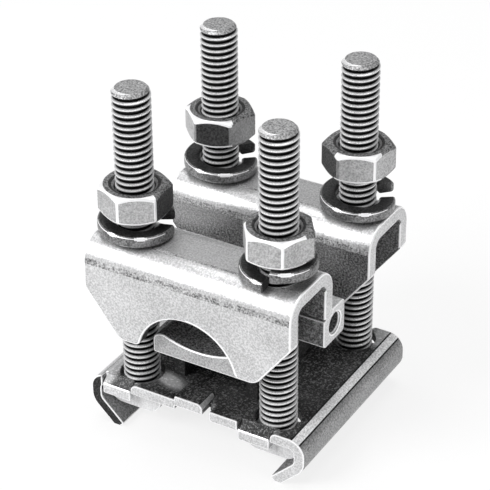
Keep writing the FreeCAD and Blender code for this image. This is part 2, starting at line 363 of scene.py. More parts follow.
def steel(name, look, patches=()):
    # one plated finish; with a root shade tone, thread roots take painted shade, and
    # patches are painted lit or shaded areas: centre, half sizes, turn, tone
    material = bpy.data.materials.new(name)
    material.use_nodes = True
    tree = material.node_tree
    link = tree.links.new
    shader = tree.nodes["Principled BSDF"]
    shader.inputs["Metallic"].default_value = look["metallic"]
    group = node(tree, "ShaderNodeGroup", (-1100, 0), node_tree=platedSteel)
    for label, value in look["group"].items():
        group.inputs[label].default_value = value
    bump = node(tree, "ShaderNodeBump", (-250, -300))
    bump.inputs["Strength"].default_value = look["bump"]
    bump.inputs["Distance"].default_value = 0.1 * mm
    link(group.outputs["Height"], bump.inputs["Height"])
    link(bump.outputs["Normal"], shader.inputs["Normal"])
    link(group.outputs["Roughness"], shader.inputs["Roughness"])
    colour = group.outputs["Color"]
    place = node(tree, "ShaderNodeTexCoord", (-1400, 400))
    for row, (centre, reach, turn, tone) in enumerate(patches):
        inside = patch(tree, row, place, centre, reach, turn)
        speckled = mixColour(
            tree, (-850, 150 + 250 * row), patchLook["speckle"], tone,
            group.outputs["Height"], "MULTIPLY",
        )
        colour = mixColour(tree, (-700, 300 + 250 * row), inside, colour, speckled)
    if "rootShade" in look:
        deep = node(tree, "ShaderNodeAttribute", (-700, 0), attribute_name="rootShade")
        share = softStep(tree, (-550, 0), deep.outputs["Fac"], *rootShadeEdge)
        colour = mixColour(tree, (-380, 200), share, colour, look["rootShade"])
    link(colour, shader.inputs["Base Color"])
    return material


def grey(value):
    return (value, value, value * 1.01, 1)


finishes = {
    "sheetSteel": dict(metallic=0.75, bump=0.2, group={
        "Light": grey(0.84), "Dark": grey(0.42), "Cloud Scale": 60, "Grain": 0.75,
        "Rough Low": 0.3, "Rough High": 0.42}),
    # painted shade: a darker copy of the sheet for inner faces, holes and faces turned from the
    # lamps
    "paintedShadeSteel": dict(metallic=0.6, bump=0.3, group={
        "Light": grey(0.50), "Dark": grey(0.04), "Cloud Scale": 80, "Grain": 0.85,
        "Speck Low": 0.42, "Speck High": 0.7, "Rough Low": 0.5, "Rough High": 0.65}),
    "deepShade": dict(metallic=0.0, bump=0.2, group={
        "Light": grey(0.09), "Dark": grey(0.004), "Cloud Scale": 120, "Grain": 0.9,
        "Speck Low": 0.5, "Speck High": 0.72, "Rough Low": 0.75, "Rough High": 0.85}),
    "wallShade": dict(metallic=0.6, bump=0.3, group={
        "Light": grey(0.50), "Dark": grey(0.02), "Cloud Scale": 60, "Grain": 0.75,
        "Speck Low": 0.42, "Speck High": 0.7, "Rough Low": 0.45, "Rough High": 0.6}),
    "cutFace": dict(metallic=0.6, bump=0.3, group={
        "Light": grey(0.82), "Dark": grey(0.45), "Cloud Scale": 120, "Grain": 0.75,
        "Rough Low": 0.4, "Rough High": 0.55}),
    "seatFace": dict(metallic=0.5, bump=0.3, group={
        "Light": grey(0.60), "Dark": grey(0.24), "Cloud Scale": 120, "Grain": 0.75,
        "Rough Low": 0.4, "Rough High": 0.55}),
    "headSteel": dict(metallic=0.0, bump=0.2, group={
        "Light": grey(0.85), "Dark": grey(0.55), "Cloud Scale": 120, "Grain": 0.7,
        "Rough Low": 0.5, "Rough High": 0.6}),
    # painted highlight on edge bevels, strips and glints
    "edgeHighlight": dict(metallic=0.3, bump=0.05, group={
        "Light": grey(1.0), "Dark": grey(0.92), "Cloud Scale": 200, "Grain": 0.3,
        "Rough Low": 0.3, "Rough High": 0.4}),
    # painted shade: the plate's top is dark, with painted lit patches
    "shadedPlateTop": dict(metallic=0.4, bump=0.3, group={
        "Light": grey(0.42), "Dark": grey(0.003), "Cloud Scale": 70, "Grain": 0.88,
        "Speck Low": 0.5, "Speck High": 0.75, "Rough Low": 0.5, "Rough High": 0.65}),
    "foldShade": dict(metallic=0.5, bump=0.3, group={
        "Light": grey(0.75), "Dark": grey(0.02), "Cloud Scale": 300, "Grain": 0.7,
        "Rough Low": 0.5, "Rough High": 0.6}),
    "bendHighlight": dict(metallic=0.0, bump=0.3, group={
        "Light": grey(1.0), "Dark": grey(0.50), "Cloud Scale": 300, "Grain": 0.9,
        "Rough Low": 0.35, "Rough High": 0.5}),
    "bendShadeLine": dict(metallic=0.6, bump=0.2, group={
        "Light": grey(0.03), "Dark": grey(0.01), "Cloud Scale": 100, "Grain": 0.5,
        "Rough Low": 0.5, "Rough High": 0.6}),
    "hookWall": dict(metallic=0.6, bump=0.25, group={
        "Light": grey(0.44), "Dark": grey(0.13), "Cloud Scale": 60, "Grain": 0.8,
        "Rough Low": 0.35, "Rough High": 0.5}),
    # the root shade tone is painted shade in the thread's roots
    "threadSteel": dict(metallic=0.5, bump=0.1, rootShade=grey(0.003), group={
        "Light": grey(1.0), "Dark": grey(0.78), "Cloud Scale": 250, "Grain": 0.6,
        "Rough Low": 0.22, "Rough High": 0.36}),
    "studTip": dict(metallic=0.5, bump=0.4, group={
        "Light": grey(0.62), "Dark": grey(0.08), "Cloud Scale": 500, "Grain": 0.8,
        "Rough Low": 0.4, "Rough High": 0.55}),
    # lit and shaded copies of the nut's steel: painted light and shade
    "nutLit": dict(metallic=0.6, bump=0.3, group={
        "Light": grey(0.60), "Dark": grey(0.30), "Cloud Scale": 200, "Grain": 0.8,
        "Rough Low": 0.35, "Rough High": 0.5}),
    "nutHalfShade": dict(metallic=0.6, bump=0.3, group={
        "Light": grey(0.36), "Dark": grey(0.18), "Cloud Scale": 200, "Grain": 0.7,
        "Rough Low": 0.35, "Rough High": 0.5}),
    "nutFullShade": dict(metallic=0.6, bump=0.3, group={
        "Light": grey(0.10), "Dark": grey(0.015), "Cloud Scale": 200, "Grain": 0.8,
        "Rough Low": 0.4, "Rough High": 0.55}),
    "nutTopShade": dict(metallic=0.6, bump=0.3, group={
        "Light": grey(0.42), "Dark": grey(0.02), "Cloud Scale": 200, "Grain": 0.85,
        "Rough Low": 0.4, "Rough High": 0.55}),
    "springTop": dict(metallic=0.7, bump=0.2, group={
        "Light": grey(0.10), "Dark": grey(0.02), "Cloud Scale": 200, "Grain": 0.7,
        "Rough Low": 0.3, "Rough High": 0.45}),
    # painted light on the washer's outer side
    "springLitSide": dict(metallic=0.7, bump=0.2, group={
        "Light": grey(0.36), "Dark": grey(0.05), "Cloud Scale": 200, "Grain": 0.75,
        "Rough Low": 0.3, "Rough High": 0.45}),
}
# painted light and shade: lit areas on the plate's top and on the left of the back saddle's near
# wall
litPatches = {
    "shadedPlateTop": [
        ((-31.5, -22, 15), (5.6, 17, 5), 0, grey(0.95)),
        ((-11.8, -21.3, 15), (6.6, 3.1, 2), -20, grey(0.4)),
        ((-12.2, -21.3, 15), (4.6, 2.1, 2), -20, grey(1.0)),
        ((28.5, 25.5, 15), (4.0, 6.0, 5), 0, grey(0.9)),
    ],
    "wallShade": [((-27, 10, 53), (18, 20, 10), 0, grey(0.55))],
}


made = {
    name: steel(name, look, litPatches.get(name, ()))
    for name, look in finishes.items()
}


def dress(obj, *names):
    obj.data.materials.clear()
    for name in names:
        obj.data.materials.append(made[name])
    return obj


def paint(obj, face, finish):
    face.material_index = obj.data.materials.find(finish)


def isPainted(obj, face, finish):
    return face.material_index == obj.data.materials.find(finish)


print("finishes:", len(made))


saddle = dict(
    length=61, width=22, sheet=4, bend=6.5, bendSteps=12, outerWall=27, innerWall=15,
    taperFrom=13.7, footOuter=20.4, archRadius=14.6, archDrop=29.6, archLine=0.35,
    footRound=1.8, holeRadius=5.5, edge=0.45, merge=0.12,
    tops={"front": 58.5, "back": 56.3},
    wedge=(25, 6),  # half length and half thickness of the tool for the sides
    throughWall=1.5,
    foldLines=(0.25, 0.99),  # the fold takes painted shade lines where it faces up less or more
    plainFrom=12,  # edges further back than this take painted shade
)


def saddleSheet(innerWall):
    s = saddle
    half = s["width"] / 2
    bpy.ops.object.select_all(action="DESELECT")
    bpy.ops.mesh.primitive_plane_add(size=1)
    obj = bpy.context.object
    obj.scale = (s["length"] * mm, s["width"] * mm, 1)
    settle(obj)
    for side, drop in ((-1, s["outerWall"]), (1, innerWall)):
        pickEdges(obj, lambda a, b: min(side * a.y, side * b.y) > half - close and a.z > -close)
        pull(0, 0, -drop)
        doneEditing()
    # both folds
    pickEdges(obj, lambda a, b: abs(a.y - b.y) < close and min(a.z, b.z) > -close)
    roundOff(s["bend"], s["bendSteps"])
    faceUp(obj)
    # the outer faces keep the sheet's tone, the inner faces take painted shade
    dress(
        obj, "sheetSteel", "paintedShadeSteel", "cutFace", "edgeHighlight", "foldShade",
        "wallShade", "deepShade",
    )
    return thicken(obj, s["sheet"])


def cutFoot(obj, side):
    # tapered sides and the arch of the wall on the -Y or +Y side
    s = saddle
    half = s["width"] / 2
    y0, y1 = sorted((side * (half + over), side * (half - s["sheet"] - s["throughWall"])))
    reach, thick = s["wedge"]
    rise = s["outerWall"] - s["taperFrom"]
    run = s["length"] / 2 - s["footOuter"]
    lean = math.atan2(rise, run)
    for end in (-1, 1):
        wedge = dress(cube((-reach, y0, -thick), (reach, y1, thick)), "cutFace")
        wedge.rotation_euler = (0, -end * lean, 0)
        wedge.location = Vector((
            end * (s["footOuter"] + run / 2 + thick * math.sin(lean)), 0,
            -s["taperFrom"] - rise / 2 - thick * math.cos(lean),
        )) * mm
        cut(obj, settle(wedge))
    # the arch, then a round from each of its ends to the foot, both with painted shade on their
    # faces
    arch = rod(s["archRadius"], y0, y1, at=(0, -s["archDrop"]), axis="Y", sides=128)
    cut(obj, dress(arch, "deepShade"))
    foot, small = -s["outerWall"], s["footRound"]
    up = foot + small + s["archDrop"]
    across = math.sqrt((s["archRadius"] + small) ** 2 - up ** 2)
    share = s["archRadius"] / (s["archRadius"] + small)
    for end in (-1, 1):
        # the tools stand a millimetre past the arch, the foot and the wall
        x0, x1 = sorted((end * across, end * (across * share - 1)))
        corner = cube((x0, y0, foot - 1), (x1, y1, up * share - s["archDrop"]))
        roll = rod(small, y0 - 1, y1 + 1, at=(end * across, foot + small), axis="Y", sides=48)
        cut(corner, dress(roll, "deepShade"))
        cut(obj, dress(corner, "deepShade"))


def makeSaddle(innerWall, footedSides):
    s = saddle
    obj = saddleSheet(innerWall)
    for side in footedSides:
        cutFoot(obj, side)
    tidyMesh(obj)
    # outer corners of the feet
    foot = -s["outerWall"]
    pickEdges(obj, lambda a, b: (
        abs(a.z - foot) < close / 2 and abs(b.z - foot) < close / 2
        and abs(a.y - b.y) > 0.5 and min(abs(a.x), abs(b.x)) > s["footOuter"] - 1
    ))
    roundOff(s["footRound"], 5)
    for end in (-1, 1):
        hole = rod(s["holeRadius"], -2 * s["sheet"], s["sheet"], at=(end * studAt, 0), sides=72)
        cut(obj, dress(hole, "cutFace"))
    return breakEdges(tidyMesh(obj, reach=s["merge"]), s["edge"])


def shadeSaddle(obj, row, move):
    s = saddle
    near = (move[1] - s["width"] / 2) * mm
    archAt = (move[2] - s["archDrop"]) * mm
    if row == "front":
        # a thin strip is marked off along the near wall's outline, for a painted highlight
        pickFaces(obj, lambda c, n: n.y < -straight and abs(c.y * mm - near) < close * mm)
        bpy.ops.mesh.inset(thickness=s["archLine"] * mm, depth=0)
        doneEditing()
    # a painted highlight strip by the arch, painted shade lines above and below the front
    # fold, painted shade on the back saddle's near wall, and painted shade on the far walls'
    # edges
    shadeLineTo, shadeLineFrom = s["foldLines"]
    for face in obj.data.polygons:
        way, at = face.normal, face.center
        onWall = way.y < -straight and abs(at.y - near) < close * mm
        fromArch = math.hypot(at.x, at.z - archAt) - s["archRadius"] * mm
        besideArch = len(face.vertices) == 4 and at.x > 0 and fromArch < s["edge"] * mm * 2
        onFold = way.y < -0.02 and abs(at.y - near) < s["bend"] * mm and way.z > 0.02
        inShadeLine = way.z < shadeLineTo or way.z > shadeLineFrom
        farEdge = way.y < 0 and way.z < -0.1 and at.y > near + s["plainFrom"] * mm
        if row == "front" and onWall and besideArch:
            paint(obj, face, "edgeHighlight")
        elif onFold and inShadeLine and abs(way.x) < 0.05:
            paint(obj, face, "foldShade")
        elif row == "back" and onWall:
            paint(obj, face, "wallShade")
        elif farEdge and isPainted(obj, face, "edgeHighlight"):
            paint(obj, face, "paintedShadeSteel")


# the front saddle has one footed wall, the back one has two and is turned half round
for row, innerWall, footedSides, turn, y in (
    ("front", saddle["innerWall"], (-1,), 0, -studAt),
    ("back", saddle["outerWall"], (-1, 1), 180, studAt),
):
    master = makeSaddle(innerWall, footedSides)
    move = (0, y, saddle["tops"][row])
    piece = twin(master, row + "Saddle", turn, move)
    shadeSaddle(piece, row, move)
    hand(piece, row + "_saddle", row + "_clamp")
    bpy.data.objects.remove(master)
print("saddles done")


ear = dict(
    length=13.6, inner=6.5, outer=17.5, top=-13.5, height=9.8, rebate=1.5, rebateGap=0.02,
    boreRadius=2.8, boreAt=12.4, corner=1.2, mouth=0.5, edge=0.25, longEdge=5,
)


def makeEar(side):
    e = ear
    end = saddle["length"] / 2
    x0, x1 = sorted((side * end, side * (end - e["length"])))
    low = e["top"] - e["height"]
    middle = low + e["height"] / 2
    obj = dress(
        cube((x0, e["inner"], low), (x1, e["outer"], e["top"])),
        "sheetSteel", "cutFace", "edgeHighlight", "paintedShadeSteel",
    )
    # painted shade on the faces turned to the front and down
    for face in obj.data.polygons:
        if face.normal.x * side > mostly:
            paint(obj, face, "cutFace")
        elif face.normal.y < -mostly or face.normal.z < -mostly:
            paint(obj, face, "paintedShadeSteel")
    # long corners, all but the one inside the sheet
    pickEdges(obj, lambda a, b: (
        abs(a.x - b.x) > e["longEdge"]
        and not (a.z > low + 1 and a.y < e["inner"] + 1)
    ))
    roundOff(e["corner"], 5)
    # painted highlight on the lower front corner
    for face in obj.data.polygons:
        if face.normal.y < -partly and face.normal.z < -partly:
            paint(obj, face, "edgeHighlight")
    rebate = cube(
        (x0 - over, 0, e["top"] - e["rebate"] - e["rebateGap"]),
        (x1 + over, saddle["width"] / 2 + e["rebateGap"], 0),
    )
    cut(obj, dress(rebate, "sheetSteel"))
    # bore with a small countersink at each mouth, with painted shade inside
    bore = rod(
        e["boreRadius"], x0 + e["mouth"], x1 - e["mouth"], at=(e["boreAt"], middle),
        axis="X", sides=56,
    )
    grow = (e["boreRadius"] + e["mouth"]) / e["boreRadius"]
    for way in (-1, 1):
        pickFaces(bore, lambda c, n: n.x * way > mostly)
        pull(way * e["mouth"], 0, 0)
        spread(1, grow, grow, (0, e["boreAt"], middle))
        pull(way, 0, 0)
        doneEditing()
    cut(obj, dress(bore, "paintedShadeSteel"))
    return breakEdges(tidyMesh(obj), e["edge"])


for end, side in (("left", -1), ("right", 1)):
    master = makeEar(side)
    piece = twin(master, "ear" + end, 0, (0, -studAt, saddle["tops"]["front"]))
    hand(piece, "front_ear_" + end, "front_clamp")
    bpy.data.objects.remove(master)
print("ears done")


base = dict(
    halfWidth=32.6, depth=57, top=15, sheet=3, wallFoot=6.4, lipReach=6.6, lipLand=1.0,
    bend=4.5, bendSteps=16, lipSteps=8, holeRadius=6, holeSpan=(8, 20),
    lugDrop=2.6, lugDepth=3.1, lugRoot=0.8, lugStep=0.15,
    lugs=((-29.0, -20.4), (13.0, 22.3)), tongue=(-6.3, 2.2), tongueRise=1.2,
    tongueDepth=7, tongueRound=1.6, notch=(2.2, 4.4), notchDepth=4.2, slit=0.5,
    shoulder=2.0, edge=0.3,
    foldSlopes=(8, 14, 38, 46),  # degrees: flat to, painted highlight from, painted highlight to, painted shade line to
    leftFold=-27, foldLow=10, leftLip=-22, lipTop=8, underLow=5,  # for its painted light and shade
    floorTool=(40, 9), outerBand=0.55, highlightFrom=28.4,
)


def plateBlock(side, xs, fromEdge, toEdge, z0, z1):
    # a block between two distances from the plate's front (-1) or back (1) edge
    half = base["depth"] / 2
    ys = sorted((side * (half - fromEdge), side * (half - toEdge)))
    return cube((xs[0], ys[0], z0), (xs[1], ys[1], z1))


def baseSheet():
    b = base
    bpy.ops.object.select_all(action="DESELECT")
    bpy.ops.mesh.primitive_plane_add(size=1, location=(0, 0, b["top"] * mm))
    obj = bpy.context.object
    obj.scale = (2 * b["halfWidth"] * mm, b["depth"] * mm, 1)
    settle(obj)
    lipIn = b["lipReach"] * (1 + b["lipLand"] / b["wallFoot"])
    for side in (-1, 1):
        pickEdges(obj, lambda a, c: min(side * a.x, side * c.x) > b["halfWidth"] - close)
        pull(0, 0, b["wallFoot"] - b["top"])
        pull(-side * lipIn, 0, -b["wallFoot"] - b["lipLand"])
        doneEditing()
    # folds: square ones above, open ones at the lips
    tilt = math.atan2(b["lipReach"], b["wallFoot"])
    for height, reach, steps in (
        (b["top"], b["bend"], b["bendSteps"]),
        (b["wallFoot"], b["bend"] * math.tan(tilt / 2), b["lipSteps"]),
    ):
        pickEdges(obj, lambda a, c: (
            abs(a.z - height) < close and abs(c.z - height) < close
            and abs(a.x - c.x) < close and abs(a.x) > b["halfWidth"] - close
        ))
        roundOff(reach, steps)
    faceUp(obj)
    dress(
        obj, "hookWall", "paintedShadeSteel", "cutFace", "edgeHighlight", "shadedPlateTop",
        "bendHighlight", "bendShadeLine", "deepShade",
    )
    # a painted highlight along each fold, between two painted shade lines
    flatTo, stripFrom, stripTo, lineTo = b["foldSlopes"]
    for face in obj.data.polygons:
        slope = math.degrees(math.acos(min(1, face.normal.z)))
        if slope < flatTo:
            paint(obj, face, "shadedPlateTop")
        elif slope < stripFrom or stripTo < slope < lineTo:
            paint(obj, face, "bendShadeLine")
        elif slope < stripTo:
            paint(obj, face, "bendHighlight")
    thicken(obj, b["sheet"])
    # painted shade on the left end's cut faces and the plate's underside, a painted highlight in
    # the cut-face tone on the left fold, and the wall tone inside the left lip
    for face in obj.data.polygons:
        way, at = face.normal, face.center
        left = at.x < b["leftFold"] * mm
        inLip = at.x < b["leftLip"] * mm and at.z < b["lipTop"] * mm
        if abs(way.y) > straight:
            paint(obj, face, "deepShade" if left else "cutFace")
        elif left and way.z > partly and at.z > b["foldLow"] * mm:
            paint(obj, face, "cutFace")
        elif inLip and way.z > partly:
            paint(obj, face, "hookWall")
        elif way.z < -straight and at.z > b["underLow"] * mm:
            paint(obj, face, "paintedShadeSteel")
    return obj


def lightTop(block):
    # light cut-face sides under a top with the plate top's painted shade
    dress(block, "cutFace", "shadedPlateTop")
    for face in block.data.polygons:
        if face.normal.z > mostly:
            paint(block, face, "shadedPlateTop")
    return block


def addLug(obj, side, lug):
    b = base
    half, under = b["depth"] / 2, b["top"] - b["sheet"]
    root = b["lugDepth"] - b["lugRoot"]
    left, right = lug[0] - b["slit"] / 2, lug[1] + b["slit"] / 2
    slot = plateBlock(side, (left, right), -over, root, under - over, b["top"] + over)
    # the slot's walls take painted shade
    cut(obj, dress(slot, "paintedShadeSteel"))
    # the plate's corner beside the lug is drawn down in a round shoulder
    corner = plateBlock(
        side, (right - over, right + b["shoulder"]), -over, root,
        b["top"] - b["shoulder"], b["top"] + over,
    )
    ys = sorted((side * (half + over + 1), side * (half - b["lugDepth"])))
    roll = rod(
        b["shoulder"], ys[0], ys[1],
        at=(right + b["shoulder"], b["top"] - b["shoulder"]), axis="Y", sides=48,
    )
    cut(corner, dress(roll, "hookWall"))
    cut(obj, dress(corner, "hookWall"))
    # the lug slopes down from the plate to its front edge
    body = plateBlock(side, lug, 0, b["lugDepth"], under - b["lugDrop"], b["top"] - b["lugDrop"])
    back = side * (half - b["lugDepth"])
    lightTop(body)
    pickEdges(body, lambda a, c: (
        abs(a.y - back) < close and abs(c.y - back) < close and min(a.z, c.z) > under - close
    ))
    bpy.ops.transform.translate(value=(0, 0, (b["lugDrop"] - b["lugStep"]) * mm))
    doneEditing()
    weld(obj, body)


def addTongue(obj, side):
    # the raised tongue stands in its own opening, beside the open notch
    b = base
    under = b["top"] - b["sheet"]
    # the opening's and the notch's walls take painted shade
    opening = plateBlock(
        side, b["tongue"], -over, b["tongueDepth"], under - over, b["top"] + over,
    )
    cut(obj, dress(opening, "paintedShadeSteel"))
    tongue = plateBlock(
        side, b["tongue"], 0, b["tongueDepth"],
        under + b["tongueRise"], b["top"] + b["tongueRise"],
    )
    pickEdges(tongue, lambda a, c: (
        min(a.z, c.z) > b["top"] and min(a.x, c.x) > b["tongue"][1] - close
    ))
    roundOff(b["tongueRound"], 6)
    weld(obj, lightTop(tongue))
    notch = plateBlock(side, b["notch"], -over, b["notchDepth"], under - over, b["top"] + over)
    cut(obj, dress(notch, "paintedShadeSteel"))


def makeBase():
    b = base
    half, under = b["depth"] / 2, b["top"] - b["sheet"]
    obj = baseSheet()
    reach, deep = b["floorTool"]
    cut(obj, dress(cube((-reach, -reach, -deep), (reach, reach, 0)), "cutFace"))
    # the hole walls take painted shade
    for place in corners.values():
        hole = rod(b["holeRadius"], *b["holeSpan"], at=place, sides=72)
        cut(obj, dress(hole, "paintedShadeSteel"))
    for side in (-1, 1):
        for lug in b["lugs"]:
            addLug(obj, side, lug)
        addTongue(obj, side)
    breakEdges(tidyMesh(obj), b["edge"])
    # only the outer edges keep the painted highlight, not those of the openings in the plate
    for face in obj.data.polygons:
        x, y, z = face.center / mm
        inside = z > under - 1 and abs(y) < half - b["outerBand"] and abs(x) < b["highlightFrom"]
        if inside and isPainted(obj, face, "edgeHighlight"):
            paint(obj, face, "shadedPlateTop")
    return obj


hand(makeBase(), "base_plate", "base")
print("base done")


seat = dict(
    halfWidth=13.3, halfLength=26.8, top=33.3, under=27.2, troughRadius=26, shoulder=10,
    troughTool=35, troughSides=220, corner=2.4, longEdge=20, legInner=9.5,
    legHalfLength=18, legSink=0.6, plate=15, edge=0.4,
)


def makeSeat():
    s = seat
    bed = cube(
        (-s["halfWidth"], -s["halfLength"], s["under"]),
        (s["halfWidth"], s["halfLength"], s["top"]),
    )
    dress(bed, "seatFace", "edgeHighlight", "paintedShadeSteel", "deepShade")
    # the two ends keep the seat's tone; the top, underside and sides take painted shade
    for face in bed.data.polygons:
        atEnd = abs(face.normal.y) > mostly
        paint(bed, face, "seatFace" if atEnd else "paintedShadeSteel")
    pickEdges(bed, lambda a, b: (
        abs(a.y - b.y) > s["longEdge"] and min(a.z, b.z) > s["top"] - close
    ))
    roundOff(s["corner"], 6)
    centre = s["top"] + math.sqrt(s["troughRadius"] ** 2 - s["shoulder"] ** 2)
    # the trough's faces take painted shade
    trough = rod(
        s["troughRadius"], -s["troughTool"], s["troughTool"], at=(0, centre), axis="Y",
        sides=s["troughSides"],
    )
    cut(bed, dress(trough, "paintedShadeSteel"))
    breakEdges(tidyMesh(bed), s["edge"], segments=3)
    for side in (-1, 1):
        x0, x1 = sorted((side * s["legInner"], side * (s["halfWidth"] - s["edge"])))
        leg = cube(
            (x0, -s["legHalfLength"], s["plate"]),
            (x1, s["legHalfLength"], s["under"] + s["legSink"]),
        )
        weld(bed, dress(leg, "deepShade"))
    return bed


hand(makeSeat(), "conductor_seat", "base")
print("seat done")


bolt = dict(
    radius=5.0, root=4.05, pitch=1.75, crestFlat=0.36, rootFlat=0.28, foot=11.0,
    top=100.0, tipDepth=1.1, tipRadius=4.0, headWidth=16.4, headDepth=8.5, headHeight=6.4,
    toe=4.2, shoulder=1.2, plateUnder=12.0, steps=48, slack=0.001, edge=0.25, longEdge=5,
    crestTo=0.1, crestShade=0.5,  # painted shade on the crest's lower edge
)
joinBelow = 0.00001  # doubles in a turned shape are closer than this, in metres


def tracedLine(points, name):
    # one point drawn out into a line, step by step
    bpy.ops.object.select_all(action="DESELECT")
    bpy.ops.mesh.primitive_plane_add(size=mm)
    obj = bpy.context.object
    obj.name = name
    selectAll(obj, "VERT")
    bpy.ops.mesh.merge(type="CENTER")
    bpy.ops.transform.translate(value=[c * mm for c in points[0]])
    for before, after in zip(points, points[1:]):
        pull(*(b - a for a, b in zip(before, after)))
    doneEditing()
    return obj


def makeThread(start, flank):
    # a turned profile, cut to the bolt's length and chamfered at its tip
    b = bolt
    line = tracedLine([
        (b["root"], 0, start),
        (b["root"], 0, start + b["rootFlat"]),
        (b["radius"], 0, start + b["rootFlat"] + flank),
        (b["radius"], 0, start + b["rootFlat"] + flank + b["crestFlat"]),
        (b["root"], 0, start + b["pitch"]),
    ], "boltMaster")
    turns = math.ceil((b["top"] - start) / b["pitch"]) + 2
    finishWith(
        line, "SCREW", axis="Z", angle=math.tau, screw_offset=b["pitch"] * mm,
        iterations=turns, steps=b["steps"], render_steps=b["steps"],
        use_merge_vertices=True, merge_threshold=joinBelow, use_normal_calculate=True,
    )
    # close both ends of the long thread
    selectAll(line, "VERT")
    bpy.ops.mesh.remove_doubles(threshold=joinBelow)
    bpy.ops.mesh.select_all(action="DESELECT")
    bpy.ops.mesh.select_non_manifold()
    bpy.ops.mesh.fill()
    bpy.ops.mesh.select_all(action="SELECT")
    bpy.ops.mesh.normals_make_consistent(inside=False)
    doneEditing()
    dress(line, "threadSteel", "studTip")
    envelope = rod(b["radius"] + b["slack"], b["foot"], b["top"] - b["tipDepth"], sides=96)
    pickFaces(envelope, lambda c, n: n.z > mostly)
    pull(0, 0, b["tipDepth"])
    shrink = b["tipRadius"] / b["radius"]
    spread(shrink, shrink, 1, (0, 0, b["top"]))
    doneEditing()
    dress(envelope, "threadSteel", "studTip")
    for face in envelope.data.polygons:
        if face.normal.z > partly:
            paint(envelope, face, "studTip")
    return keepInside(line, envelope)


def makeHead():
    b = bolt
    low = b["plateUnder"] - b["headHeight"]
    head = cube(
        (-b["headWidth"] / 2, -b["headDepth"] / 2, low),
        (b["headWidth"] / 2, b["headDepth"] / 2, b["plateUnder"]), "head",
    )
    pickEdges(head, lambda a, c: abs(a.y - c.y) > b["longEdge"] and max(a.z, c.z) < low + close)
    roundOff(b["toe"], 8)
    pickEdges(head, lambda a, c: (
        abs(a.y - c.y) > b["longEdge"] and min(a.z, c.z) > b["plateUnder"] - close
    ))
    roundOff(b["shoulder"], 4)
    dress(head, "headSteel", "edgeHighlight")
    return breakEdges(head, b["edge"])


def makeBolt():
    b = bolt
    flank = (b["pitch"] - b["crestFlat"] - b["rootFlat"]) / 2
    start = b["foot"] - 2 * b["pitch"]
    line = makeThread(start, flank)
    # how deep each point lies below the crests, which sets the painted shade in the roots; the
    # crest's lower edge takes painted shade too
    depth = line.data.attributes.new("rootShade", "FLOAT", "POINT")
    for index, point in enumerate(line.data.vertices):
        inward = b["radius"] - point.co.xy.length / mm
        share = inward / (b["radius"] - b["root"])
        turned = math.atan2(point.co.y, point.co.x) / math.tau
        phase = (point.co.z / mm - start - b["pitch"] * turned) % b["pitch"]
        if share < b["crestTo"] and phase < b["rootFlat"] + flank + b["crestFlat"] / 2:
            share = b["crestShade"]
        belowTip = point.co.z < (b["top"] - b["tipDepth"]) * mm
        depth.data[index].value = min(max(share, 0), 1) if belowTip else 0
    smooth(line, 25)
    head = makeHead()
    only(head)
    line.select_set(True)
    bpy.context.view_layer.objects.active = line
    bpy.ops.object.join()
    return line


boltMaster = makeBolt()
for name, (x, y) in corners.items():
    piece = twin(boltMaster, "bolt" + name, 0, (x, y, 0))
    hand(piece, "bolt_" + name, "base")
bpy.data.objects.remove(boltMaster)
print("bolts done")


nut = dict(
    flats=17, height=8, faceShare=0.955, reach=3.0, chamfer=30, bore=5.06,
    sink=6.3, sinkDepth=1.1, edge=0.45, flatArea=20,
    turn={"front_left": 35, "front_right": 5, "back_left": 17, "back_right": 23},
    # by nut: how far round the chamfer takes the painted highlight, and the flats and corners
    # that take painted shade, by the way they face, in degrees
    lit={
        "front_left": (190, 337), "front_right": (200, 350),
        "back_left": (197, 322), "back_right": (255, 340),
    },
    shadedCorners={"back_left": (257, 317), "back_right": (263,)},
    shadedFlats={
        "front_left": {5: "nutFullShade"},
        "front_right": {},
        "back_left": {287: "nutFullShade", 347: "nutHalfShade"},
        "back_right": {233: "nutFullShade"},
    },
    toneReach=12, shadeReach=20,
)


def makeNut():
    n = nut
    corner = n["flats"] / 2 / math.cos(math.radians(30))
    # a six-sided bar whose corners stand at 30, 90, 150 degrees
    obj = rod(corner, 0, n["height"], sides=6, name="nutMaster")
    dress(obj, "nutLit", "nutTopShade", "edgeHighlight")
    # painted shade on the top and bottom faces
    for face in obj.data.polygons:
        if abs(face.normal.z) > mostly:
            paint(obj, face, "nutTopShade")
    flat = n["flats"] / 2 * n["faceShare"]
    drop = n["reach"] * math.tan(math.radians(n["chamfer"]))
    barrel = rod(flat + n["reach"], drop, n["height"] - drop, sides=120)
    shrink = flat / (flat + n["reach"])
    for way, level in ((-1, 0), (1, n["height"])):
        pickFaces(barrel, lambda c, normal: normal.z * way > mostly)
        pull(0, 0, way * drop)
        spread(shrink, shrink, 1, (0, 0, level))
        doneEditing()
    dress(barrel, "edgeHighlight", "nutTopShade")
    for face in barrel.data.polygons:
        if abs(face.normal.z) > straight:
            paint(barrel, face, "nutTopShade")
    keepInside(obj, barrel)
    # the bore opens in a countersink at both ends
    bore = rod(n["bore"], n["sinkDepth"], n["height"] - n["sinkDepth"], sides=72)
    grow = n["sink"] / n["bore"]
    for way in (-1, 1):
        pickFaces(bore, lambda c, normal: normal.z * way > mostly)
        pull(0, 0, way * n["sinkDepth"])
        spread(grow, grow, 1, (0, 0, 0))
        pull(0, 0, way)
        doneEditing()
    cut(obj, dress(bore, "nutLit"))
    return breakEdges(tidyMesh(obj), n["edge"])


